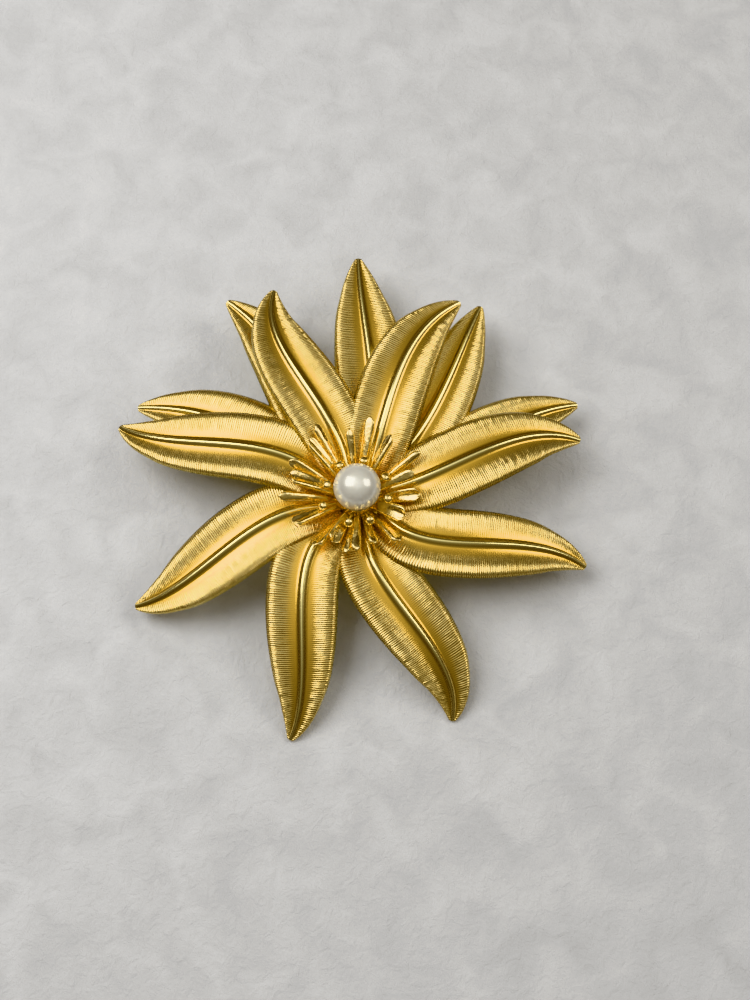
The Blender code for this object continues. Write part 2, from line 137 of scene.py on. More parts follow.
# light: a big soft window up and left and a smaller one to the right, in a room whose walls are darker than
# its ceiling
lightSetup = {
    "window": {"place": (-0.15, 0.045, 0.235), "size": 0.19, "watts": 0.56, "colour": "#FFFFFF"},
    "door": {"place": (0.29, 0.05, 0.28), "size": 0.18, "watts": 0.45, "colour": "#FFFDF8"},
}
roomSetup = {
    "strength": 1.0,
    "tones": ((0.0, "#32211A"), (0.3, "#4C3C30"), (0.65, "#7D7972"), (0.84, "#989690"), (1.0, "#FFFFFF")),
}


def makeLights(setup):
    for name, values in setup.items():
        data = bpy.data.lights.new(name, "AREA")
        data.shape = "SQUARE"
        data.size = values["size"]
        data.energy = values["watts"]
        data.color = linear(values["colour"])[:3]
        lamp = bpy.data.objects.new(name, data)
        lamp.location = Vector(values["place"])
        lamp.rotation_euler = (pearlCentre - lamp.location).to_track_quat("-Z", "Y").to_euler()
        bpy.context.scene.collection.objects.link(lamp)


def makeRoom(setup):
    world = bpy.data.worlds.new("studioRoom")
    world.use_nodes = True
    tree = world.node_tree
    add = partial(addNode, tree)
    way = add("ShaderNodeSeparateXYZ", add("ShaderNodeTexCoord").outputs["Generated"])
    tone = add("ShaderNodeValToRGB", way.outputs["Z"])
    setRamp(tone, setup["tones"])
    fill(tree, tree.nodes["Background"], {"Color": tone, "Strength": setup["strength"]})
    bpy.context.scene.world = world


makeLights(lightSetup)
makeRoom(roomSetup)
# this view keeps the gold's own hue in its highlights
bpy.context.scene.view_settings.view_transform = "Khronos PBR Neutral"

# floor: pale wool felt, only a stage; each layer is (size, detail, distortion, bump strength, bump height)
floorSetup = {
    "size": 1.6, "light": "#D6D6D6", "dark": "#C9C9C9", "roughness": 0.95, "specular": 0.15,
    "layers": (
        (6 * mm, 5.0, 0.6, 0.3, 0.8 * mm),
        (1.6 * mm, 4.0, 1.0, 0.45, 0.5 * mm),
        (0.3 * mm, 3.0, 1.5, 0.5, 0.15 * mm),
    ),
}


def startMaterial(name):
    material = bpy.data.materials.new(name)
    material.use_nodes = True
    return material, material.node_tree, material.node_tree.nodes["Principled BSDF"]


def feltMaterial(setup):
    # undyed wool felt, fulled: no gloss, soft mottling, tufts and short fibres
    material, tree, shader = startMaterial("paleFelt")
    add = partial(addNode, tree)
    place = add("ShaderNodeTexCoord").outputs["Object"]
    clouds = [
        add("ShaderNodeTexNoise", inputs={
            "Vector": place, "Scale": 1 / size, "Detail": detail, "Distortion": twist})
        for size, detail, twist, _, _ in setup["layers"]]
    tint = add("ShaderNodeValToRGB", clouds[0].outputs["Fac"])
    setRamp(tint, ((0.32, setup["dark"]), (0.68, setup["light"])))
    below = {}
    for cloud, (*_, strength, height) in zip(clouds, setup["layers"]):
        wool = add("ShaderNodeBump", inputs={
            "Height": cloud.outputs["Fac"], "Strength": strength, "Distance": height, **below})
        below = {"Normal": wool}
    fill(tree, shader, {"Base Color": tint, "Roughness": setup["roughness"], **below})
    fill(tree, shader, {"Specular IOR Level": setup["specular"]})
    return material


def makeFloor(setup):
    mesh = bpy.data.meshes.new("floor")
    half = setup["size"] / 2
    corners = [(x, y, 0) for x, y in rectangle(half, half)]
    mesh.from_pydata(corners, [], [(0, 1, 2, 3)])
    mesh.materials.append(feltMaterial(setup))
    floor = bpy.data.objects.new("floor", mesh)
    bpy.context.scene.collection.objects.link(floor)


makeFloor(floorSetup)

# gold plate over brass: one metal, with different hands on it
# in the cut petals, the bright tone is also a painted highlight on the rib, the amber tone a painted
# reflection in the valleys, and the deep tone painted shade in the cuts and at the root
goldTones = {"bright": "#FBEAA2", "body": "#ECD686", "paintedReflectionAmber": "#D8AF54", "deep": "#B28A4A"}
castTones = {"bright": "#FDE8A4", "body": "#F2D284"}
florentineFinish = {
    "cloud": 4 * mm, "scratch": 0.15 * mm, "scratchDepth": 0.02 * mm, "satin": (0.2, 0.34), "valley": 0.27,
    "rib": 0.2,
}
# lump is how coarse the metal under the plate is, and scratches how much the finishing left on it
castFinish = {"lump": 0.6 * mm, "lumpHeight": 0.2 * mm, "roughness": (0.13, 0.27), "scratches": 0.15}
barrelledFinish = {"lump": 1.5 * mm, "lumpHeight": 0.03 * mm, "roughness": (0.22, 0.38), "scratches": 0.3}
steelFinish = {
    "dark": "#A9A49B", "light": "#CFCBC4", "lineLength": 4 * mm, "lineWidth": 0.05 * mm,
    "roughness": (0.18, 0.34),
}
nacreFinish = {
    "dark": "#E0DDD0", "light": "#EDEADC", "cloud": 1.8 * mm,
    "shader": {
        "Metallic": 0.3, "Roughness": 0.26, "Subsurface Weight": 0.2, "Subsurface Radius": (1.0, 0.9, 0.75),
        "Subsurface Scale": 0.6 * mm, "Coat Weight": 0.7, "Coat Roughness": 0.12, "Coat IOR": 1.6,
    },
}
noiseLow, noiseHigh = 0.3, 0.7  # nearly all of a noise pattern lies between these


def florentineGold(tones, finish):
    # gold-plated brass cut with a fine liner: satin ridges, burnished valleys and a rib; the cuts and the
    # root get painted shade, the valleys a painted amber reflection of gold in gold, and the rib a painted
    # highlight
    material, tree, shader = startMaterial("florentineGold")
    add = partial(addNode, tree)
    place = add("ShaderNodeTexCoord").outputs["Object"]
    leaf = add("ShaderNodeAttribute", attribute_name="leaf")
    parts = add("ShaderNodeSeparateXYZ", leaf.outputs["Vector"])
    cloud = add("ShaderNodeTexNoise", inputs={"Vector": place, "Scale": 1 / finish["cloud"], "Detail": 4.0})
    tone = add("ShaderNodeValToRGB", cloud.outputs["Fac"])
    setRamp(tone, ((noiseLow, tones["body"]), (0.72, tones["bright"])))
    # painted shade: the deep tone darkens the cut lines' grooves and the root among the stamens
    lobes = add("ShaderNodeMix", data_type="RGBA", inputs={
        "Factor": parts.outputs["Y"], "A": linear(tones["deep"]), "B": tone.outputs["Color"]})
    # painted reflection: the amber tone in the valleys stands in for gold mirrored in gold
    valleys = add("ShaderNodeMix", data_type="RGBA", inputs={
        "Factor": parts.outputs["Z"], "A": lobes, "B": linear(tones["paintedReflectionAmber"])})
    # painted highlight: the bright tone on the rib
    colour = add("ShaderNodeMix", data_type="RGBA", inputs={
        "Factor": parts.outputs["X"], "A": valleys, "B": linear(tones["bright"])})
    scratch = add("ShaderNodeTexNoise", inputs={
        "Vector": place, "Scale": 1 / finish["scratch"], "Detail": 3.0})
    satin = add("ShaderNodeMapRange", scratch.outputs["Fac"], noiseLow, noiseHigh, *finish["satin"])
    smooth = add("ShaderNodeMix", data_type="FLOAT", inputs={
        "Factor": parts.outputs["Z"], "A": satin, "B": finish["valley"]})
    gloss = add("ShaderNodeMix", data_type="FLOAT", inputs={
        "Factor": parts.outputs["X"], "A": smooth, "B": finish["rib"]})
    bump = add("ShaderNodeBump", inputs={
        "Height": scratch.outputs["Fac"], "Strength": 0.15, "Distance": finish["scratchDepth"]})
    fill(tree, shader, {"Base Color": colour, "Roughness": gloss, "Normal": bump, "Metallic": 1.0})
    return material


def goldPlate(name, tones, finish):
    # gold-plated brass without cut lines: cast and polished, or stamped and barrelled
    material, tree, shader = startMaterial(name)
    add = partial(addNode, tree)
    place = add("ShaderNodeTexCoord").outputs["Object"]
    cloud = add("ShaderNodeTexNoise", inputs={"Vector": place, "Scale": 1 / finish["lump"], "Detail": 4.0})
    tone = add("ShaderNodeValToRGB", cloud.outputs["Fac"])
    setRamp(tone, ((noiseLow, tones["body"]), (noiseHigh, tones["bright"])))
    grit = add("ShaderNodeTexNoise", inputs={
        "Vector": place, "Scale": 1 / (0.1 * mm), "Detail": 3.0, "Distortion": 2.0})
    gloss = add("ShaderNodeMapRange", grit.outputs["Fac"], noiseLow, noiseHigh, *finish["roughness"])
    lumps = add("ShaderNodeBump", inputs={
        "Height": cloud.outputs["Fac"], "Strength": 0.3, "Distance": finish["lumpHeight"]})
    marks = add("ShaderNodeBump", inputs={
        "Height": grit.outputs["Fac"], "Strength": finish["scratches"], "Distance": 0.02 * mm,
        "Normal": lumps.outputs["Normal"]})
    fill(tree, shader, {"Base Color": tone, "Roughness": gloss, "Normal": marks, "Metallic": 1.0})
    return material


def drawnSteel(finish):
    # stainless spring wire, drawn through a die and nickel-bright, with faint lines along it
    material, tree, shader = startMaterial("drawnSteel")
    add = partial(addNode, tree)
    place = add("ShaderNodeTexCoord").outputs["Object"]
    fine = 1 / finish["lineWidth"]
    coarse = 1 / finish["lineLength"]
    along = add("ShaderNodeMapping", inputs={"Vector": place, "Scale": (coarse, fine, fine)})
    lines = add("ShaderNodeTexNoise", inputs={"Vector": along, "Scale": 1.0, "Detail": 2.0})
    tone = add("ShaderNodeValToRGB", lines.outputs["Fac"])
    setRamp(tone, ((noiseLow, finish["dark"]), (noiseHigh, finish["light"])))
    gloss = add("ShaderNodeMapRange", lines.outputs["Fac"], noiseLow, noiseHigh, *finish["roughness"])
    fill(tree, shader, {"Base Color": tone, "Roughness": gloss, "Metallic": 1.0})
    return material


def pearlNacre(finish):
    # cultured pearl: layered nacre, a soft lustre that mirrors the gold round it, over a grey-white body
    material, tree, shader = startMaterial("pearlNacre")
    add = partial(addNode, tree)
    place = add("ShaderNodeTexCoord").outputs["Object"]
    cloud = add("ShaderNodeTexNoise", inputs={"Vector": place, "Scale": 1 / finish["cloud"], "Detail": 2.0})
    tone = add("ShaderNodeValToRGB", cloud.outputs["Fac"])
    setRamp(tone, ((noiseLow, finish["dark"]), (noiseHigh, finish["light"])))
    fill(tree, shader, {"Base Color": tone, **finish["shader"]})
    return material


florentine = florentineGold(goldTones, florentineFinish)
polished = goldPlate("castPolishedGold", castTones, castFinish)
stamped = goldPlate("barrelledGold", goldTones, barrelledFinish)
steel = drawnSteel(steelFinish)
nacre = pearlNacre(nacreFinish)


def finishPiece(piece, body, slot, *nodes):
    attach(piece, body)
    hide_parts(*nodes)


def settle(piece):
    # the modifiers' result becomes the piece's own mesh
    bpy.context.view_layer.update()
    evaluated = piece.evaluated_get(bpy.context.evaluated_depsgraph_get())
    made = bpy.data.meshes.new_from_object(evaluated)
    piece.modifiers.clear()
    piece.data = made
    return piece


def newTree(name, inputs):
    tree = bpy.data.node_groups.new(name, "GeometryNodeTree")
    tree.interface.new_socket("Geometry", in_out="INPUT", socket_type="NodeSocketGeometry")
    tree.interface.new_socket("Geometry", in_out="OUTPUT", socket_type="NodeSocketGeometry")
    for label, kind, value in inputs:
        socket = tree.interface.new_socket(label, in_out="INPUT", socket_type="NodeSocket" + kind)
        if value is not None:
            socket.default_value = value
    return tree, tree.nodes.new("NodeGroupInput"), tree.nodes.new("NodeGroupOutput")


def closeTree(tree, geometry, material, result):
    smooth = addNode(tree, "GeometryNodeSetShadeSmooth", inputs={"Geometry": geometry})
    whole = addNode(tree, "GeometryNodeRealizeInstances", inputs={"Geometry": smooth})
    painted = addNode(tree, "GeometryNodeSetMaterial", inputs={"Geometry": whole, "Material": material})
    fill(tree, result, {"Geometry": painted})


def runTree(tree, name, values, start=None):
    # one plain mesh piece from one evaluation of a tree
    piece = bpy.data.objects.new(name, start or bpy.data.meshes.new(name))
    bpy.context.scene.collection.objects.link(piece)
    modifier = piece.modifiers.new("build", "NODES")
    modifier.node_group = tree
    names = {item.name: item.identifier for item in tree.interface.items_tree if item.in_out == "INPUT"}
    for label, value in values.items():
        modifier[names[label]] = value
    return settle(piece)


# petals: sizes, how the rib and edges are rounded, how the cut lines run and how many faces each petal has;
# outline goes from root to tip, section and lineMask from the rib to the edge
petalForm = {
    "halfWidth": 4.55 * mm,
    "thickness": 0.8 * mm,
    "tipThinning": 0.2,
    "relief": 0.85 * mm,
    "ribHalfWidth": 0.72 * mm,
    "ribHeight": 0.4 * mm,
    "ribThinning": 0.55,
    "ribRound": 1.5,
    "edgeRound": 9.0,
    "linePitch": 0.26 * mm,
    "lineDepth": 0.024 * mm,
    "lineWander": 0.7,
    "lineBow": 0.8,
    "lineNotch": 0.006,
    "dentDepth": 0.06 * mm,
    "wanderGrain": (36.0, 2.6, 2.0),
    "unevenGrain": (90.0, 4.0, 1.0),
    "seedStep": 7,
    # the share of the length over which the painted shade at the root, among the stamens, fades out
    "paintedRootShadeFade": (0.02, 0.2),
    "crowding": 1.5,
    "around": 72,
    "along": 780,
    "outline": (
        (0, 0.7), (0.12, 0.88), (0.26, 0.98), (0.44, 1.0),
        (0.66, 0.87), (0.84, 0.56), (0.94, 0.31), (1, 0.1)),
    "section": ((0, 0.36), (0.12, 0.32), (0.27, 0.33), (0.48, 0.48), (0.72, 0.68), (0.88, 0.66), (1, 0.52)),
    "sectionMiddle": 0.5,
    "lineMask": ((0, 0), (0.22, 0.02), (0.36, 0.3), (0.5, 0.9), (1, 1)),
}

# each petal: azimuth of the root, swing of the tip, reach and tip height in mm, rise at the root and dip at
# the tip, how far the rib turns from the radial line at root and tip, and its share of the full width
petalShapes = {
    "upper_petal_1": (110, 1, 31.5, 8.5, 24, 12, -12, -34, 1.0),
    "upper_petal_2": (66, -2, 31.0, 8.5, 24, 12, 7, -32, 1.0),
    "upper_petal_3": (19, -2, 30.5, 6.5, 22, 22, -12, -27, 1.04),
    "upper_petal_4": (334, 12, 30.5, 3.0, 16, 28, -36, -17, 1.0),
    "upper_petal_5": (289, 5.5, 29.5, 0.2, 14, 32, -24, -35, 1.04),
    "upper_petal_6": (244, 10.3, 30.5, 0.2, 14, 32, -44, -12, 1.0),
    "upper_petal_7": (200, 4, 31.0, 2.0, 14, 28, -23, -18, 1.03),
    "upper_petal_8": (155, 6, 33.0, 5.5, 20, 22, -24, -15, 1.02),
    "back_petal_1": (153, 1, 32.5, 4.0, 3, 14, -20, 22, 1.0),
    "back_petal_2": (123, -2, 34.5, 5.0, 4, 8, -8, 20, 1.0),
    "back_petal_3": (89, 1, 36.0, 5.5, 5, 6, -20, 2, 1.08),
    "back_petal_4": (56, 4, 33.5, 5.0, 4, 8, -16, 6, 1.0),
    "back_petal_5": (24, 3, 33.0, 4.0, 3, 14, -3, -15, 1.0),
}
rootRadius = 3.6 * mm
rootHeights = {"upper": 7.9 * mm, "back": 5.9 * mm}
handleShare = 0.36


def makePetalTree(form):
    tree, given, result = newTree("petal", (
        ("Root", "Vector", None),
        ("Root handle", "Vector", None),
        ("Tip handle", "Vector", None),
        ("Tip", "Vector", None),
        ("Half width", "Float", form["halfWidth"]),
        ("Relief", "Float", form["relief"]),
        ("Thickness", "Float", form["thickness"]),
        ("Rib half width", "Float", form["ribHalfWidth"]),
        ("Rib height", "Float", form["ribHeight"]),
        ("Line pitch", "Float", form["linePitch"]),
        ("Line depth", "Float", form["lineDepth"]),
        ("Dent depth", "Float", form["dentDepth"]),
        ("Seed", "Float", 0.0),
        ("Material", "Material", None),
    ))
    add = partial(addNode, tree)
    own = given.outputs

    # a closed tube, unrolled: how far along the petal, and how far from the rib towards either edge
    tube = add("GeometryNodeMeshCylinder", inputs={
        "Vertices": form["around"], "Side Segments": form["along"], "Radius": 1.0, "Depth": 1.0})
    place = add("ShaderNodeSeparateXYZ", add("GeometryNodeInputPosition"))
    share = add("ShaderNodeMath", place.outputs["Z"], 0.5, operation="ADD")
    angle = add("ShaderNodeMath", place.outputs["Y"], place.outputs["X"], operation="ARCTAN2")
    turn = add("ShaderNodeMath", angle, math.pi, operation="DIVIDE")
    unrolled = add("ShaderNodeMath", turn, operation="ABSOLUTE")
    flat = add("ShaderNodeMath", unrolled, -2.0, 1.0, operation="MULTIPLY_ADD")
    aside = add("ShaderNodeMath", flat, operation="ABSOLUTE")
    across = add("ShaderNodeMath", aside, form["crowding"], operation="POWER")
    front = add("ShaderNodeMath", turn, 0.0, operation="GREATER_THAN")

    # the rib's line, and the petal's own left and up beside it
    line = add("GeometryNodeCurvePrimitiveBezierSegment", inputs={
        "Resolution": 64, "Start": own["Root"], "Start Handle": own["Root handle"],
        "End Handle": own["Tip handle"], "End": own["Tip"]})
    sample = add("GeometryNodeSampleCurve", mode="FACTOR", inputs={"Curves": line, "Factor": share})
    tangent = sample.outputs["Tangent"]
    level = add("ShaderNodeVectorMath", (0.0, 0.0, 1.0), tangent, operation="CROSS_PRODUCT")
    left = add("ShaderNodeVectorMath", level, operation="NORMALIZE")
    upward = add("ShaderNodeVectorMath", tangent, left, operation="CROSS_PRODUCT")

    # the cut lines: a fine wave along the petal, a little uneven from line to line and along each line
    grains = []
    for lengthwise, crosswise, detail in (form["wanderGrain"], form["unevenGrain"]):
        down = add("ShaderNodeMath", share, lengthwise, operation="MULTIPLY")
        beside = add("ShaderNodeMath", flat, crosswise, own["Seed"], operation="MULTIPLY_ADD")
        grains.append(add("ShaderNodeTexNoise", noise_dimensions="2D", inputs={
            "Vector": add("ShaderNodeCombineXYZ", down, beside), "Scale": 1.0, "Detail": detail}))
    wander, uneven = grains
    travelled = add("ShaderNodeMath", share, add("GeometryNodeCurveLength", line), operation="MULTIPLY")
    counted = add("ShaderNodeMath", travelled, own["Line pitch"], operation="DIVIDE")
    bowed = add("ShaderNodeMath", across, form["lineBow"], operation="MULTIPLY")
    strayed = add("ShaderNodeMath", wander, form["lineWander"], bowed, operation="MULTIPLY_ADD")
    lines = add("ShaderNodeMath", counted, strayed, operation="ADD")
    phase = add("ShaderNodeMath", lines, math.tau, operation="MULTIPLY")
    wave = add("ShaderNodeMath", phase, operation="SINE")
    mask = add("ShaderNodeFloatCurve", inputs={"Value": across})
    setCurve(mask, form["lineMask"])
    masked = add("ShaderNodeMath", wave, mask, operation="MULTIPLY")
    pressure = add("ShaderNodeMath", uneven, 2.0, operation="MULTIPLY")
    cut = add("ShaderNodeMath", masked, pressure, operation="MULTIPLY")

    # across the petal: the outline, notched a hair by the lines
    outline = add("ShaderNodeFloatCurve", inputs={"Value": share})
    setCurve(outline, form["outline"])
    halfWidth = add("ShaderNodeMath", outline, own["Half width"], operation="MULTIPLY")
    notch = add("ShaderNodeMath", cut, form["lineNotch"], 1.0, operation="MULTIPLY_ADD")
    notched = add("ShaderNodeMath", halfWidth, notch, operation="MULTIPLY")
    side = add("ShaderNodeMath", flat, operation="SIGN")
    toSide = add("ShaderNodeMath", across, side, operation="MULTIPLY")
    sideways = add("ShaderNodeMath", toSide, notched, operation="MULTIPLY")

    # up from the petal's middle surface: valleys and lobes, the rib's bead, hammer dents and cut lines
    section = add("ShaderNodeFloatCurve", inputs={"Value": across})
    setCurve(section, form["section"])
    lifted = add("ShaderNodeMath", section, form["sectionMiddle"], operation="SUBTRACT")
    relief = add("ShaderNodeMath", outline, own["Relief"], operation="MULTIPLY")
    swell = add("ShaderNodeMath", lifted, relief, operation="MULTIPLY")
    fade = add("ShaderNodeMath", share, 3.0, operation="POWER")
    thin = add("ShaderNodeMath", fade, -form["ribThinning"], 1.0, operation="MULTIPLY_ADD")
    ribHalf = add("ShaderNodeMath", own["Rib half width"], thin, operation="MULTIPLY")
    fromRib = add("ShaderNodeMath", sideways, ribHalf, operation="DIVIDE")
    mirrored = add("ShaderNodeMath", fromRib, -1.0, operation="MULTIPLY")
    inBead = add("ShaderNodeMath", fromRib, mirrored, 1.0, operation="MULTIPLY_ADD")
    onBead = add("ShaderNodeMath", inBead, 0.0, operation="MAXIMUM")
    bead = add("ShaderNodeMath", onBead, form["ribRound"], operation="POWER")
    fullRib = add("ShaderNodeMath", bead, own["Rib height"], operation="MULTIPLY")
    rib = add("ShaderNodeMath", fullRib, thin, operation="MULTIPLY")
    hammered = add("ShaderNodeMath", wander, 0.5, operation="SUBTRACT")
    dented = add("ShaderNodeMath", hammered, own["Dent depth"], operation="MULTIPLY")
    dent = add("ShaderNodeMath", dented, mask, operation="MULTIPLY")
    grooved = add("ShaderNodeMath", cut, own["Line depth"], operation="MULTIPLY")
    beaten = add("ShaderNodeMath", rib, dent, operation="ADD")
    detail = add("ShaderNodeMath", beaten, grooved, operation="ADD")

    # half the sheet's thickness, down to nothing at the rounded edges: up on the front, down on the back
    toEdge = add("ShaderNodeMath", across, form["edgeRound"], operation="POWER")
    inEdge = add("ShaderNodeMath", toEdge, -1.0, 1.0, operation="MULTIPLY_ADD")
    rounded = add("ShaderNodeMath", inEdge, operation="SQRT")
    sheet = add("ShaderNodeMath", rounded, own["Thickness"], operation="MULTIPLY")
    halved = add("ShaderNodeMath", fade, -form["tipThinning"], 0.5, operation="MULTIPLY_ADD")
    halfThick = add("ShaderNodeMath", sheet, halved, operation="MULTIPLY")
    under = add("ShaderNodeMath", halfThick, -1.0, operation="MULTIPLY")
    over = add("ShaderNodeMath", halfThick, detail, operation="ADD")
    rise = add("GeometryNodeSwitch", front, under, over, input_type="FLOAT")
    height = add("ShaderNodeMath", swell, rise, operation="ADD")
    outwards = add("ShaderNodeVectorMath", left, inputs={"Scale": sideways}, operation="SCALE")
    upwards = add("ShaderNodeVectorMath", upward, inputs={"Scale": height}, operation="SCALE")
    offset = add("ShaderNodeVectorMath", outwards, upwards, operation="ADD")
    spot = add("ShaderNodeVectorMath", sample.outputs["Position"], offset, operation="ADD")

    # for the finish: how much of each spot is rib (painted highlight), how high on a cut line it stands
    # (painted shade in the grooves), and how much of it is valley (painted amber reflection); painted shade
    # also darkens the root among the stamens
    paintedRootShadeFade = add("ShaderNodeMapRange", share, *form["paintedRootShadeFade"], 0.0, 1.0)
    groove = add("ShaderNodeMath", cut, -0.5, 0.5, operation="MULTIPLY_ADD")
    frontGroove = add("ShaderNodeMath", groove, front, operation="MULTIPLY")
    standing = add("ShaderNodeMath", 1.0, frontGroove, operation="SUBTRACT")
    clearOfPaintedShade = add("ShaderNodeMath", standing, paintedRootShadeFade, operation="MULTIPLY")
    unlined = add("ShaderNodeMath", 1.0, mask, operation="SUBTRACT")
    frontValley = add("ShaderNodeMath", unlined, front, operation="MULTIPLY")
    valley = add("ShaderNodeMath", frontValley, paintedRootShadeFade, operation="MULTIPLY")
    # the rib's own roughness, and a painted highlight in the bright tone
    ribGlossAndPaintedHighlight = add("ShaderNodeMath", bead, front, operation="MULTIPLY")
    leaf = add("ShaderNodeCombineXYZ", ribGlossAndPaintedHighlight, clearOfPaintedShade, valley)
    marked = add("GeometryNodeStoreNamedAttribute", data_type="FLOAT_VECTOR", domain="POINT", inputs={
        "Geometry": tube.outputs["Mesh"], "Name": "leaf", "Value": leaf})
    shaped = add("GeometryNodeSetPosition", inputs={"Geometry": marked, "Position": spot})
    closeTree(tree, shaped, own["Material"], result)
    return tree


def pointing(azimuth, elevation):
    a, e = math.radians(azimuth), math.radians(elevation)
    return Vector((math.cos(a) * math.cos(e), math.sin(a) * math.cos(e), math.sin(e)))


def petalLine(shape, rootZ):
    azimuth, swing, reach, tipZ, rise, dip, leave, arrive, width = shape
    root = flowerAxis + pointing(azimuth, 0) * rootRadius + Vector((0, 0, rootZ))
    tip = flowerAxis + pointing(azimuth + swing, 0) * reach * mm + Vector((0, 0, tipZ * mm))
    handle = (tip - root).length * handleShare
    return {
        "Root": root,
        "Root handle": root + pointing(azimuth + leave, rise) * handle,
        "Tip handle": tip - pointing(azimuth + swing + arrive, -dip) * handle,
        "Tip": tip,
        "Half width": petalForm["halfWidth"] * width,
    }


def makePetals(shapes, form):
    tree = makePetalTree(form)
    for count, (node, shape) in enumerate(shapes.items()):
        rootZ = rootHeights[node.split("_")[0]]
        seed = float(count * form["seedStep"])
        values = {**petalLine(shape, rootZ), "Seed": seed, "Material": florentine}
        finishPiece(runTree(tree, node + "_leaf", values), "flower", "florentine_gold", node)


makePetals(petalShapes, petalForm)
print("petals built:", len(petalShapes))


# stamens: three rings; each stamen is (azimuth, reach, tip height, width share, roll in degrees, share of the
# hollow), with lengths in mm
stamenRings = {
    "outer_stamens": {
        "collar": 2.5, "bend": (2.9, 1.8), "halfWidth": 0.7, "halfThick": 0.56, "trough": 0.6, "ball": 0.0,
        "slant": 0.3,
        "stamens": (
            (357, 7.7, 11.4, 1.35, 24, 1.0), (33, 9.3, 11.9, 0.8, 40, 0.1), (80, 9.7, 12.2, 1.05, -20, 0.3),
            (122, 10.0, 12.2, 1.0, 34, 0.2), (156, 9.2, 12.0, 1.1, -36, 0.4), (185, 9.7, 11.7, 1.0, -26, 0.2),
            (235, 8.9, 11.9, 1.2, 30, 0.5), (261, 8.3, 11.7, 1.0, 14, 0.1), (287, 7.3, 11.7, 1.1, -24, 0.3),
            (308, 8.5, 11.9, 1.25, -26, 0.4),
        ),
    },
    "middle_stamens": {
        "collar": 2.1, "bend": (2.9, 2.4), "halfWidth": 0.66, "halfThick": 0.54, "trough": 0.6, "ball": 0.0,
        "slant": 0.35,
        "stamens": (
            (17, 7.3, 12.3, 1.1, 22, 0.3), (58, 8.0, 12.8, 1.1, -30, 0.4), (98, 7.6, 12.9, 0.95, 24, 0.2),
            (134, 8.6, 12.9, 1.3, 26, 0.9), (169, 8.4, 12.6, 1.8, 20, 1.0), (210, 9.0, 12.4, 1.3, 24, 0.7),
            (247, 7.5, 12.4, 1.5, -30, 0.9), (269, 8.0, 12.4, 1.1, -22, 0.2), (329, 6.8, 12.3, 1.6, 26, 1.0),
        ),
    },
    "inner_stamens": {
        "collar": 1.8, "bend": (3.6, 2.2), "halfWidth": 0.26, "halfThick": 0.26, "trough": 0.0, "ball": 0.6,
        "slant": 0.0,
        "stamens": (
            (26, 4.2, 12.2, 1.0, 0, 0.0), (78, 4.3, 12.2, 1.0, 0, 0.0), (124, 4.2, 12.2, 1.0, 0, 0.0),
            (170, 4.0, 12.2, 1.0, 0, 0.0), (208, 5.2, 12.4, 1.0, 0, 0.0), (257, 4.9, 12.4, 1.0, 0, 0.0),
            (292, 4.7, 12.1, 1.0, 0, 0.0), (343, 4.3, 12.3, 1.0, 0, 0.0),
        ),
    },
}
collarHeight = 0.5 * mm
postHole = 0.5 * mm
stamenDetail = {
    "around": 24, "along": 44, "crowding": 1.5, "endRound": 2.6, "endBlunt": 0.6, "rootWidth": 0.55,
    "sideBlunt": 0.85, "deepening": 1.5, "slantFrom": 8.0,
}


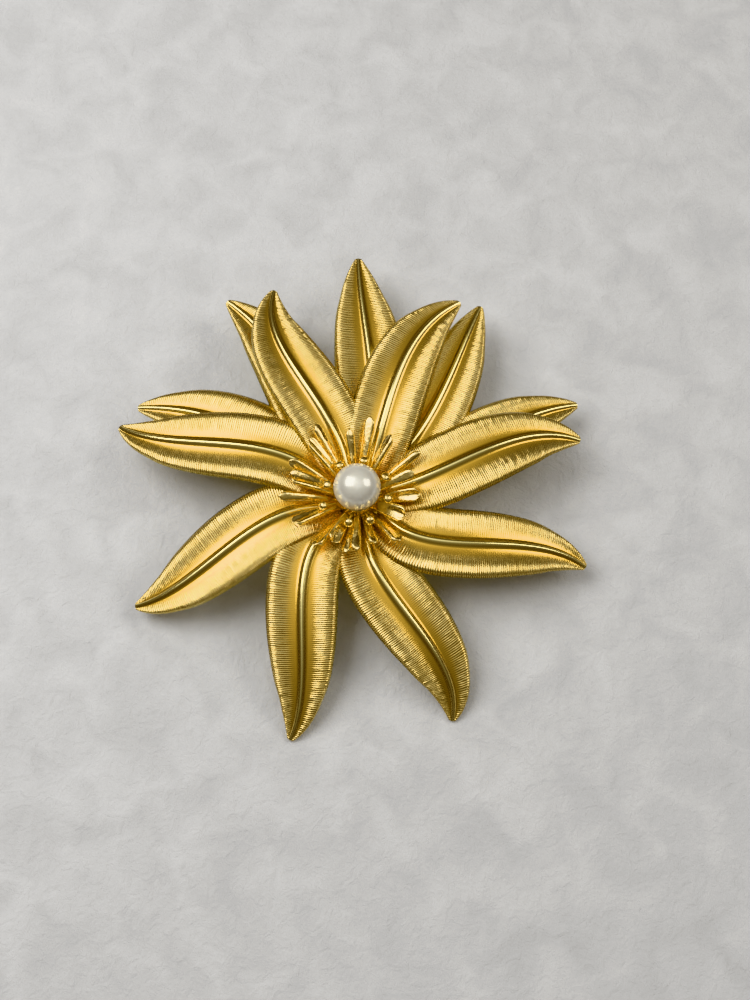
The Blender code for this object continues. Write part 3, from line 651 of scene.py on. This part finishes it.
def makeStamenTree(detail):
    tree, given, result = newTree("stamens", (
        ("Root radius", "Float", None),
        ("Root height", "Float", None),
        ("Bend radius", "Float", None),
        ("Bend height", "Float", None),
        ("Half width", "Float", None),
        ("Half thickness", "Float", None),
        ("Trough", "Float", None),
        ("Ball radius", "Float", None),
        ("Slant", "Float", None),
        ("Axis", "Vector", None),
        ("Material", "Material", None),
    ))
    add = partial(addNode, tree)
    own = given.outputs
    reach, tipHeight, azimuth, width, roll, scoop = (
        add("GeometryNodeInputNamedAttribute", name, data_type="FLOAT").outputs["Attribute"]
        for name in ("reach", "tipHeight", "azimuth", "width", "roll", "scoop"))

    # one closed rod on each seed point, with more faces towards its tip
    rod = add("GeometryNodeMeshCylinder", inputs={
        "Vertices": detail["around"], "Side Segments": detail["along"], "Radius": 1.0, "Depth": 1.0})
    copies = add("GeometryNodeInstanceOnPoints", inputs={
        "Points": own["Geometry"], "Instance": rod.outputs["Mesh"]})
    rods = add("GeometryNodeRealizeInstances", inputs={"Geometry": copies})
    place = add("ShaderNodeSeparateXYZ", add("GeometryNodeInputPosition"))
    x, y = place.outputs["X"], place.outputs["Y"]
    toTop = add("ShaderNodeMath", 0.5, place.outputs["Z"], operation="SUBTRACT")
    clipped = add("ShaderNodeMath", toTop, 0.0, operation="MAXIMUM")
    back = add("ShaderNodeMath", clipped, detail["crowding"], operation="POWER")
    share = add("ShaderNodeMath", 1.0, back, operation="SUBTRACT")

    # the rod's line, bent once, in its own upright plane: a point (radius, 0, height) and its tangent
    start = add("ShaderNodeCombineXYZ", own["Root radius"], 0.0, own["Root height"])
    bend = add("ShaderNodeCombineXYZ", own["Bend radius"], 0.0, own["Bend height"])
    end = add("ShaderNodeCombineXYZ", reach, 0.0, tipHeight)
    near = add("ShaderNodeMix", data_type="VECTOR", inputs={"Factor": share, "A": start, "B": bend})
    far = add("ShaderNodeMix", data_type="VECTOR", inputs={"Factor": share, "A": bend, "B": end})
    spot = add("ShaderNodeMix", data_type="VECTOR", inputs={"Factor": share, "A": near, "B": far})
    heading = add("ShaderNodeVectorMath", far, near, operation="SUBTRACT")
    tangent = add("ShaderNodeVectorMath", heading, operation="NORMALIZE")
    left = add("ShaderNodeVectorRotate", rotation_type="AXIS_ANGLE", inputs={
        "Vector": (0.0, 1.0, 0.0), "Axis": tangent, "Angle": roll})
    upward = add("ShaderNodeVectorMath", tangent, left, operation="CROSS_PRODUCT")

    # width grows from the root, the end is round, and a ball may sit on it
    span = add("ShaderNodeVectorMath", end, start, operation="DISTANCE")
    fromTip = add("ShaderNodeMath", span, back, operation="MULTIPLY")
    intoBall = add("ShaderNodeMath", fromTip, own["Ball radius"], operation="SUBTRACT")
    ballSquare = add("ShaderNodeMath", own["Ball radius"], 2.0, operation="POWER")
    intoSquare = add("ShaderNodeMath", intoBall, intoBall, operation="MULTIPLY")
    beadSquare = add("ShaderNodeMath", ballSquare, intoSquare, operation="SUBTRACT")
    onBead = add("ShaderNodeMath", beadSquare, 0.0, operation="MAXIMUM")
    bead = add("ShaderNodeMath", onBead, operation="SQRT")
    intoEnd = add("ShaderNodeMath", fromTip, own["Half thickness"], operation="DIVIDE")
    endShare = add("ShaderNodeMath", intoEnd, 1.0, operation="MINIMUM")
    inEnd = add("ShaderNodeMath", 1.0, endShare, operation="SUBTRACT")
    closing = add("ShaderNodeMath", inEnd, detail["endRound"], operation="POWER")
    opened = add("ShaderNodeMath", closing, -1.0, 1.0, operation="MULTIPLY_ADD")
    roundEnd = add("ShaderNodeMath", opened, operation="SQRT")
    widening = add("ShaderNodeMath", share, 0.45, detail["rootWidth"], operation="MULTIPLY_ADD")
    grow = add("ShaderNodeMath", roundEnd, widening, operation="MULTIPLY")
    ownWidth = add("ShaderNodeMath", own["Half width"], width, operation="MULTIPLY")
    blade = add("ShaderNodeMath", ownWidth, grow, operation="MULTIPLY")
    halfWidth = add("ShaderNodeMath", bead, blade, operation="MAXIMUM")
    bluntEnd = add("ShaderNodeMath", roundEnd, detail["endBlunt"], operation="POWER")
    thick = add("ShaderNodeMath", own["Half thickness"], bluntEnd, operation="MULTIPLY")
    halfThick = add("ShaderNodeMath", bead, thick, operation="MAXIMUM")

    # across the rod: a gouge, with thick rims and a hollow that deepens towards the tip, and a slanted end
    upDown = add("ShaderNodeMath", y, operation="ABSOLUTE")
    flattened = add("ShaderNodeMath", upDown, detail["sideBlunt"], operation="POWER")
    blunt = add("ShaderNodeMath", flattened, add("ShaderNodeMath", y, operation="SIGN"), operation="MULTIPLY")
    xSquare = add("ShaderNodeMath", x, x, operation="MULTIPLY")
    inHollow = add("ShaderNodeMath", xSquare, -1.0, 1.0, operation="MULTIPLY_ADD")
    dish = add("ShaderNodeMath", inHollow, inHollow, operation="MULTIPLY")
    depth = add("ShaderNodeMath", own["Trough"], scoop, operation="MULTIPLY")
    deepening = add("ShaderNodeMath", share, detail["deepening"], operation="POWER")
    deep = add("ShaderNodeMath", depth, deepening, operation="MULTIPLY")
    hollow = add("ShaderNodeMath", dish, deep, operation="MULTIPLY")
    solid = add("ShaderNodeMath", blunt, halfThick, operation="MULTIPLY")
    sunk = add("ShaderNodeMath", hollow, grow, operation="MULTIPLY")
    offUp = add("ShaderNodeMath", solid, sunk, operation="SUBTRACT")
    lean = add("ShaderNodeMath", y, own["Slant"], operation="MULTIPLY")
    atTip = add("ShaderNodeMath", share, detail["slantFrom"], operation="POWER")
    offAlong = add("ShaderNodeMath", lean, atTip, operation="MULTIPLY")
    offSide = add("ShaderNodeMath", x, halfWidth, operation="MULTIPLY")
    sideStep, upStep, tipStep = (
        add("ShaderNodeVectorMath", direction, inputs={"Scale": amount}, operation="SCALE")
        for direction, amount in ((left, offSide), (upward, offUp), (tangent, offAlong)))
    shift = add("ShaderNodeVectorMath", sideStep, upStep, operation="ADD")
    shift = add("ShaderNodeVectorMath", shift, tipStep, operation="ADD")
    wanted = add("ShaderNodeVectorRotate", rotation_type="Z_AXIS", inputs={
        "Vector": add("ShaderNodeVectorMath", spot, shift, operation="ADD"), "Angle": azimuth})
    shaped = add("GeometryNodeSetPosition", inputs={"Geometry": rods, "Position": wanted})

    # the collar that holds the ring on the post
    bothRadii = add("ShaderNodeMath", own["Root radius"], postHole, operation="ADD")
    ring = add("GeometryNodeCurvePrimitiveCircle", inputs={
        "Resolution": 64, "Radius": add("ShaderNodeMath", bothRadii, 0.5, operation="MULTIPLY")})
    wide = add("ShaderNodeMath", own["Root radius"], postHole, operation="SUBTRACT")
    bar = add("GeometryNodeCurvePrimitiveQuadrilateral", inputs={"Width": wide, "Height": collarHeight})
    collar = add("GeometryNodeCurveToMesh", inputs={"Curve": ring.outputs["Curve"], "Profile Curve": bar})
    raised = add("GeometryNodeTransform", inputs={
        "Geometry": collar, "Translation": add("ShaderNodeCombineXYZ", 0.0, 0.0, own["Root height"])})
    both = add("GeometryNodeJoinGeometry")
    for geometry in (shaped, raised):
        tree.links.new(geometry.outputs[0], both.inputs[0])
    placed = add("GeometryNodeTransform", inputs={"Geometry": both, "Translation": own["Axis"]})
    closeTree(tree, placed, own["Material"], result)
    return tree


def makeStamens(rings, detail):
    tree = makeStamenTree(detail)
    for node, ring in rings.items():
        seeds = bpy.data.meshes.new(node + "_seeds")
        seeds.from_pydata([(0, 0, 0)] * len(ring["stamens"]), [], [])
        azimuths, reaches, tips, widths, rolls, scoops = zip(*ring["stamens"])
        columns = {
            "azimuth": [math.radians(a) for a in azimuths],
            "reach": [r * mm for r in reaches],
            "tipHeight": [t * mm for t in tips],
            "width": widths,
            "roll": [math.radians(r) for r in rolls],
            "scoop": scoops,
        }
        for name, values in columns.items():
            seeds.attributes.new(name, "FLOAT", "POINT").data.foreach_set("value", values)
        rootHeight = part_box(node)[0][2] + collarHeight / 2
        values = {
            "Root radius": ring["collar"] * mm,
            "Root height": rootHeight,
            "Bend radius": ring["bend"][0] * mm,
            "Bend height": rootHeight + ring["bend"][1] * mm,
            "Half width": ring["halfWidth"] * mm,
            "Half thickness": ring["halfThick"] * mm,
            "Trough": ring["trough"] * mm,
            "Ball radius": ring["ball"] * mm,
            "Slant": ring["slant"] * mm,
            "Axis": flowerAxis,
            "Material": polished,
        }
        finishPiece(runTree(tree, node + "_ring", values, seeds), "flower", "polished_gold", node)


makeStamens(stamenRings, stamenDetail)
print("stamens built")


mergeGap = 0.0005 * mm
sharpAngle = math.radians(35)


def meshPiece(name, bm, material):
    bmesh.ops.remove_doubles(bm, verts=bm.verts, dist=mergeGap)
    bmesh.ops.recalc_face_normals(bm, faces=bm.faces)
    mesh = bpy.data.meshes.new(name)
    bm.to_mesh(mesh)
    bm.free()
    mesh.shade_smooth()
    mesh.set_sharp_from_angle(angle=sharpAngle)
    mesh.materials.append(material)
    piece = bpy.data.objects.new(name, mesh)
    bpy.context.scene.collection.objects.link(piece)
    return piece


def eased(corners, amount, closed=True, steps=4):
    # an outline with its corners rounded off; an open one keeps its first and last point
    corners = [Vector(corner) for corner in corners]
    last = len(corners) - 1
    points = []
    for k, corner in enumerate(corners):
        if not closed and k in (0, last):
            points.append(corner)
            continue
        sides = corners[k - 1], corners[(k + 1) % (last + 1)]
        start, end = (corner + (side - corner).normalized() * amount for side in sides)
        parts = [n / steps for n in range(steps + 1)]
        points += [start.lerp(corner, part).lerp(corner.lerp(end, part), part) for part in parts]
    return points


def arc(radius, start, end, steps, height=0.0):
    angles = [math.radians(start + (end - start) * k / steps) for k in range(steps + 1)]
    return [Vector((radius * math.cos(a), height + radius * math.sin(a))) for a in angles]


def spun(profile, steps, start=0.0, sweep=360.0, closed=True):
    # a profile of (radius, height) points turned round Z; a part turn gets flat ends
    bm = bmesh.new()
    verts = [bm.verts.new((radius, 0.0, height)) for radius, height in profile]
    pairs = list(zip(verts, verts[1:])) + ([(verts[-1], verts[0])] if closed else [])
    edges = [bm.edges.new(pair) for pair in pairs]
    bmesh.ops.rotate(bm, verts=bm.verts, matrix=Matrix.Rotation(math.radians(start), 3, "Z"))
    if sweep < 360:
        bm.faces.new(verts)
    turned = bmesh.ops.spin(
        bm, geom=verts + edges, cent=(0, 0, 0), axis=(0, 0, 1), angle=math.radians(sweep), steps=steps,
        use_merge=False)
    if sweep < 360:
        lastEdges = [item for item in turned["geom_last"] if isinstance(item, bmesh.types.BMEdge)]
        bmesh.ops.contextual_create(bm, geom=lastEdges)
    return bm


def prism(outline, low, high):
    bm = bmesh.new()
    face = bm.faces.new([bm.verts.new((x, y, low)) for x, y in outline])
    top = bmesh.ops.extrude_face_region(bm, geom=[face])
    raised = [item for item in top["geom"] if isinstance(item, bmesh.types.BMVert)]
    bmesh.ops.translate(bm, verts=raised, vec=(0, 0, high - low))
    return bm


def moved(bm, matrix, place):
    bmesh.ops.transform(bm, verts=bm.verts, matrix=Matrix.Translation(place) @ matrix.to_4x4())
    return bm


def carve(piece, operation, *tools):
    # joins or cuts with the tools, and removes them
    for tool in tools:
        change = piece.modifiers.new(tool.name, "BOOLEAN")
        change.operation = operation
        change.object = tool
    settle(piece)
    for tool in tools:
        bpy.data.objects.remove(tool)
    return piece


def breakEdges(piece, width):
    # a small round on every sharp edge, as tumbling leaves it
    bm = bmesh.new()
    bm.from_mesh(piece.data)
    bmesh.ops.remove_doubles(bm, verts=bm.verts, dist=mergeGap)
    bmesh.ops.dissolve_limit(bm, angle_limit=math.radians(1), verts=bm.verts, edges=bm.edges)
    bm.to_mesh(piece.data)
    bm.free()
    bevel = piece.modifiers.new("edges", "BEVEL")
    bevel.width = width
    bevel.segments = 3
    bevel.limit_method = "ANGLE"
    bevel.angle_limit = sharpAngle
    bevel.use_clamp_overlap = True
    settle(piece)
    piece.data.shade_smooth()
    piece.data.set_sharp_from_angle(angle=sharpAngle)
    return piece


upright = Matrix.Identity(3)
aboutY = Matrix.Rotation(math.radians(90), 3, "X")
aboutX = Matrix(((0, 0, 1), (1, 0, 0), (0, 1, 0)))

# the turned stack on the flower's axis; angles in degrees
stackForm = {
    "ease": 0.1 * mm, "cupGap": 0.05 * mm, "cupWall": 0.3 * mm, "cupAngle": 48.0, "cupFoot": 1.2 * mm,
    "cupStart": -62, "headRadius": 1.1 * mm, "headHeight": 0.55 * mm, "headLip": 0.1 * mm,
    "postRadius": 0.45 * mm, "steps": 128, "postSteps": 64,
}


def makeStack(form):
    for node in ("lower_hub", "upper_hub", "spacer", "back_washer"):
        low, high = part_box(node)
        outer = (high[0] - low[0]) / 2
        corners = ((postHole, low[2]), (outer, low[2]), (outer, high[2]), (postHole, high[2]))
        turned = spun(eased(corners, form["ease"]), form["steps"])
        plate = meshPiece(node + "_turned", moved(turned, upright, flowerAxis), stamped)
        finishPiece(plate, "flower", "finding_gold", node)

    inner = pearlRadius + form["cupGap"]
    outer = inner + form["cupWall"]
    rim = form["cupAngle"] - 90
    foot = pearlCentre.z - outer
    lowest = math.degrees(math.asin(postHole / inner)) - 90
    section = [Vector((postHole, foot)), Vector((form["cupFoot"], foot))]
    section += arc(outer, form["cupStart"], rim, 8, pearlCentre.z)
    section += arc(inner, rim, lowest, 24, pearlCentre.z)
    cup = meshPiece("pearl_cup_turned", moved(spun(section, form["steps"]), upright, flowerAxis), polished)
    finishPiece(cup, "flower", "polished_gold", "pearl_cup")

    low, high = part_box("centre_post")
    headTop = low[2] + form["headHeight"]
    lip = headTop - form["headLip"]
    domeHeight = form["headHeight"] - form["headLip"]
    angles = [math.radians(a) for a in range(0, 91, 6)]
    section = [Vector((form["headRadius"] * math.sin(a), lip - domeHeight * math.cos(a))) for a in angles]
    section += [Vector((form["headRadius"], headTop)), Vector((form["postRadius"], headTop)),
                Vector((form["postRadius"], high[2])), Vector((0, high[2]))]
    rod = moved(spun(section, form["postSteps"], closed=False), upright, flowerAxis)
    finishPiece(meshPiece("centre_post_turned", rod, stamped), "flower", "finding_gold", "centre_post")


# pearl: a smooth round, closed round the post
def makePearl():
    bm = bmesh.new()
    bmesh.ops.create_icosphere(bm, subdivisions=6, radius=pearlRadius)
    pearl = meshPiece("pearl_bead", moved(bm, upright, pearlCentre), nacre)
    finishPiece(pearl, "flower", "pearl", "pearl")


makeStack(stackForm)
makePearl()
print("stack and pearl built")

# pin back: a bar, a bracket with a rivet, the pin, and a catch with a roller
pinForm = {
    "barEase": 0.2 * mm, "slotFloor": 0.5 * mm, "cheek": 0.45 * mm, "rivetRadius": 0.38 * mm,
    "rivetHead": 0.3 * mm, "eyeRadius": 1.05 * mm, "eyeThick": 1.0 * mm, "eyeEase": 0.15 * mm,
    "wireRadius": 0.35 * mm, "point": 2.6 * mm, "pointSteps": 12, "seam": 0.05 * mm, "edge": 0.09 * mm,
}
catchForm = {
    "outer": 1.75 * mm, "bore": 1.3 * mm, "lip": 0.95 * mm, "length": 2.6 * mm, "flange": 0.4 * mm,
    "footOverlap": 0.1 * mm, "sleeveBore": 0.9 * mm, "leverRadius": 2.4 * mm, "leverShare": 0.6,
    "mouthStart": 160.0, "mouthEnd": -58.0, "leverAngle": 20.0, "leverRoom": 3.0, "leverOverlap": 2,
    "steps": 48, "seam": 0.05 * mm, "edge": 0.08 * mm,
}
rivetCentre = middle("hinge_rivet")


def makePinBack(form):
    low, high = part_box("pin_bar")
    half = (high[1] - low[1]) / 2
    run = (high[0] - low[0]) / 2 - half
    outline = [
        point + Vector((side * run, 0))
        for side, start in ((1, -90), (-1, 90)) for point in arc(half, start, start + 180, 32)]
    plate = moved(prism(outline, low[2], high[2]), upright, middle("pin_bar") * Vector((1, 1, 0)))
    bar = breakEdges(meshPiece("pin_bar_plate", plate, stamped), form["barEase"])
    finishPiece(bar, "flower", "finding_gold", "pin_bar")

    low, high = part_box("hinge_bracket")
    halfLength, halfWidth, top = (high[0] - low[0]) / 2, (high[1] - low[1]) / 2, high[2]
    shoulder = rivetCentre.z
    cheeks = ((-halfLength, top), (-halfLength, shoulder), (-halfLength / 2, 0.0), (halfLength / 2, 0.0),
              (halfLength, shoulder), (halfLength, top))
    foot = rivetCentre * Vector((1, 1, 0))
    block = moved(prism(cheeks, -halfWidth, halfWidth), aboutY, foot)
    bracket = meshPiece("hinge_bracket_block", block, stamped)
    slot = prism(rectangle(halfLength * 2, halfWidth - form["cheek"]), -1 * mm, top - form["slotFloor"])
    slotTool = meshPiece("slotTool", moved(slot, upright, foot), stamped)
    hole = arc(form["rivetRadius"] + form["seam"], 0, 345, 23)
    bore = prism(hole, -2 * halfWidth, 2 * halfWidth)
    boreTool = meshPiece("boreTool", moved(bore, aboutY, rivetCentre), stamped)
    carve(bracket, "DIFFERENCE", slotTool, boreTool)
    finishPiece(breakEdges(bracket, form["edge"]), "flower", "finding_gold", "hinge_bracket")

    low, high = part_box("hinge_rivet")
    end = (high[1] - low[1]) / 2
    head = (high[0] - low[0]) / 2
    neck = end - form["rivetHead"]
    angles = [math.radians(a) for a in range(90, -1, -10)]
    dome = [Vector((head * math.sin(a), neck + form["rivetHead"] * math.cos(a))) for a in angles]
    section = [Vector((x, -y)) for x, y in reversed(dome)]
    section += [Vector((form["rivetRadius"], -neck)), Vector((form["rivetRadius"], neck))] + dome
    shank = moved(spun(section, 48, closed=False), aboutY, rivetCentre)
    finishPiece(meshPiece("hinge_rivet_turned", shank, stamped), "flower", "finding_gold", "hinge_rivet")

    inner = form["rivetRadius"] + form["seam"]
    halfEye = form["eyeThick"] / 2
    ring = ((inner, -halfEye), (form["eyeRadius"], -halfEye), (form["eyeRadius"], halfEye), (inner, halfEye))
    eye = moved(spun(eased(ring, form["eyeEase"]), 64), aboutY, rivetCentre)
    pin = meshPiece("pin_stem_wire", eye, steel)
    start = (form["rivetRadius"] + form["eyeRadius"]) / 2
    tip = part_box("pin_stem")[1][0] - rivetCentre.x
    section = [Vector((0, start)), Vector((form["wireRadius"], start))]
    for k in range(form["pointSteps"] + 1):
        back = 1 - k / form["pointSteps"]
        section.append(Vector((form["wireRadius"] * math.sqrt(back), tip - form["point"] * back)))
    stem = moved(spun(section, 32, closed=False), aboutX, rivetCentre)
    carve(pin, "UNION", meshPiece("wireTool", stem, steel))
    pin.data.shade_smooth()
    pin.data.set_sharp_from_angle(angle=math.radians(50))
    finishPiece(pin, "pin", "pin_steel", "pin_stem")


def makeCatch(form):
    low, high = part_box("catch_body")
    centre = Vector(((low[0] + high[0]) / 2, rivetCentre.y, rivetCentre.z))
    half = form["length"] / 2
    inside = half - form["flange"]
    bore, lip, outer = form["bore"], form["lip"], form["outer"]
    channel = (
        (lip, -half), (outer, -half), (outer, half), (lip, half),
        (lip, inside), (bore, inside), (bore, -inside), (lip, -inside))
    wall = form["mouthStart"] - form["mouthEnd"]
    rolled = moved(spun(channel, form["steps"], form["mouthEnd"], wall), aboutX, centre)
    body = meshPiece("catch_body_channel", rolled, stamped)
    footBase = centre.z + (bore + outer) / 2 - form["footOverlap"]
    foot = moved(prism(rectangle(half, outer / 2), footBase, high[2]), upright, centre * Vector((1, 1, 0)))
    carve(body, "UNION", meshPiece("footTool", foot, stamped))
    finishPiece(breakEdges(body, form["edge"]), "flower", "finding_gold", "catch_body")

    sleeveHalf = inside - form["seam"]
    sleeveOuter = bore - form["seam"]
    sleeveBore = form["sleeveBore"]
    leverStart = form["mouthStart"] + form["leverRoom"]
    sleeveSweep = leverStart + form["leverOverlap"] - form["mouthEnd"]
    sleeve = (
        (sleeveBore, -sleeveHalf), (sleeveOuter, -sleeveHalf),
        (sleeveOuter, sleeveHalf), (sleeveBore, sleeveHalf))
    lever = [
        (radius if radius < sleeveOuter else form["leverRadius"], height * form["leverShare"])
        for radius, height in sleeve]
    tube = moved(spun(sleeve, form["steps"], form["mouthEnd"], sleeveSweep), aboutX, centre)
    roller = meshPiece("catch_roller_sleeve", tube, stamped)
    tab = moved(spun(lever, 8, leverStart, form["leverAngle"]), aboutX, centre)
    carve(roller, "UNION", meshPiece("tabTool", tab, stamped))
    finishPiece(breakEdges(roller, form["edge"]), "roller", "finding_gold", "catch_roller")


makePinBack(pinForm)
makeCatch(catchForm)
print("pin back built")
